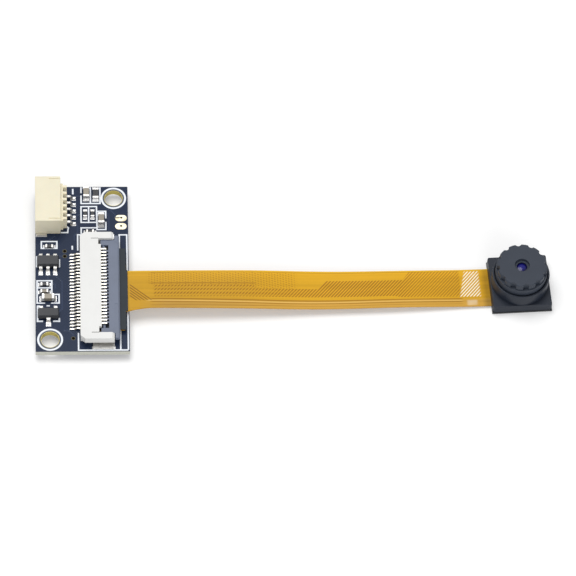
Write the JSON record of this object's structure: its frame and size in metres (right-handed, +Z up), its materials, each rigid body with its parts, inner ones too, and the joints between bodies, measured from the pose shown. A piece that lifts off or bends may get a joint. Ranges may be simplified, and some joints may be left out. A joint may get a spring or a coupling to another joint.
{
  "type": "camera module",
  "caption": "Camera head on a flat flexible ribbon leading to a small board with a wire socket, a flip-latch ribbon connector and a chip underneath.",
  "frame": {"origin": "middle of the module's own box, on the surface it lies on", "axes": "+X along the ribbon from the board to the camera head, +Y along the board's long side, +Z up out of the board's populated face and the lens"},
  "size_m": [0.0682, 0.0256, 0.0055],
  "materials": {
    "solder_mask": "satin dark blue-grey mask over glass-fibre laminate, bare fibre on the cut edges",
    "cream_nylon": "unfilled cream nylon, slightly translucent",
    "white_polymer": "glass-filled off-white polymer",
    "slate_polymer": "blue-grey moulded polymer, fine grain",
    "tinned_contact": "bright tin plate",
    "gold_contact": "tin plate with a warm cast",
    "epoxy": "black moulded epoxy",
    "tan_ceramic": "tan-grey fired ceramic",
    "black_glaze": "black glaze over white ceramic",
    "brown_ceramic": "dark brown ceramic",
    "nickel_lid": "nickel-plated lid",
    "amber_film": "polyimide film over copper tracks",
    "dark_film": "dark laminated stiffener",
    "dark_steel": "black-coated plate",
    "sensor_die": "mirror-dark silicon",
    "clear_glass": "clear cover glass",
    "blue_glass": "cyan-tinted filter glass",
    "black_polymer": "black glass-filled polymer, fine matt grain",
    "barrel_polymer": "black moulded polymer, faint sheen",
    "coated_glass": "blue anti-reflection coating",
    "clear_lens": "clear moulded lens"
  },
  "bodies": {
    "module": {"circuit_board": "solder_mask", "wire_socket_housing": "cream_nylon", "wire_socket_contacts": "tinned_contact", "wire_socket_tabs": "tinned_contact", "ribbon_connector_housing": "white_polymer", "ribbon_connector_contacts": "gold_contact", "ribbon_connector_tabs": "tinned_contact", "regulator_body": "epoxy", "regulator_leads": "tinned_contact", "transistor_body": "epoxy", "transistor_leads": "tinned_contact", "capacitor_bodies": "tan_ceramic", "capacitor_ends": "tinned_contact", "resistor_bodies": "black_glaze", "resistor_ends": "tinned_contact", "controller_body": "epoxy", "controller_pads": "tinned_contact", "crystal_base": "brown_ceramic", "crystal_lid": "nickel_lid", "memory_body": "epoxy", "memory_pads": "tinned_contact", "underside_capacitor_bodies": "tan_ceramic", "underside_capacitor_ends": "tinned_contact", "underside_resistor_bodies": "black_glaze", "underside_resistor_ends": "tinned_contact", "flex_ribbon": "amber_film", "ribbon_stiffener": "dark_film", "head_back_plate": "dark_steel", "image_sensor": "sensor_die", "sensor_glass": "clear_glass", "infrared_filter": "blue_glass", "lens_holder": "black_polymer"},
    "latch": {"ribbon_connector_latch": "slate_polymer"},
    "barrel": {"lens_barrel": "barrel_polymer"},
    "lens_cell": {"front_lens": "coated_glass", "front_spacer": "black_polymer", "middle_lens": "clear_lens", "middle_spacer": "black_polymer", "rear_lens": "clear_lens", "retaining_ring": "black_polymer"}
  },
  "joints": [
    {"name": "latch_flip", "type": "hinge", "parent": "module", "child": "latch", "pos_m": [-0.02509, -0.0037, 0.00282], "axis": [0, -1, 0], "range_deg": [0, 90]},
    {"name": "focus_travel", "type": "slide", "parent": "module", "child": "lens_cell", "axis": [0, 0, 1], "range_m": [-0.000175, 0.00035]},
    {"name": "focus_turn", "type": "hinge", "parent": "lens_cell", "child": "barrel", "pos_m": [0.0299, -0.00224, 0.003], "axis": [0, 0, 1], "range_deg": [-180.5, 360.5]}
  ],
  "couplings": [
    {"joint": "focus_turn", "follows": "focus_travel", "rad_per_m": 17952}
  ]
}
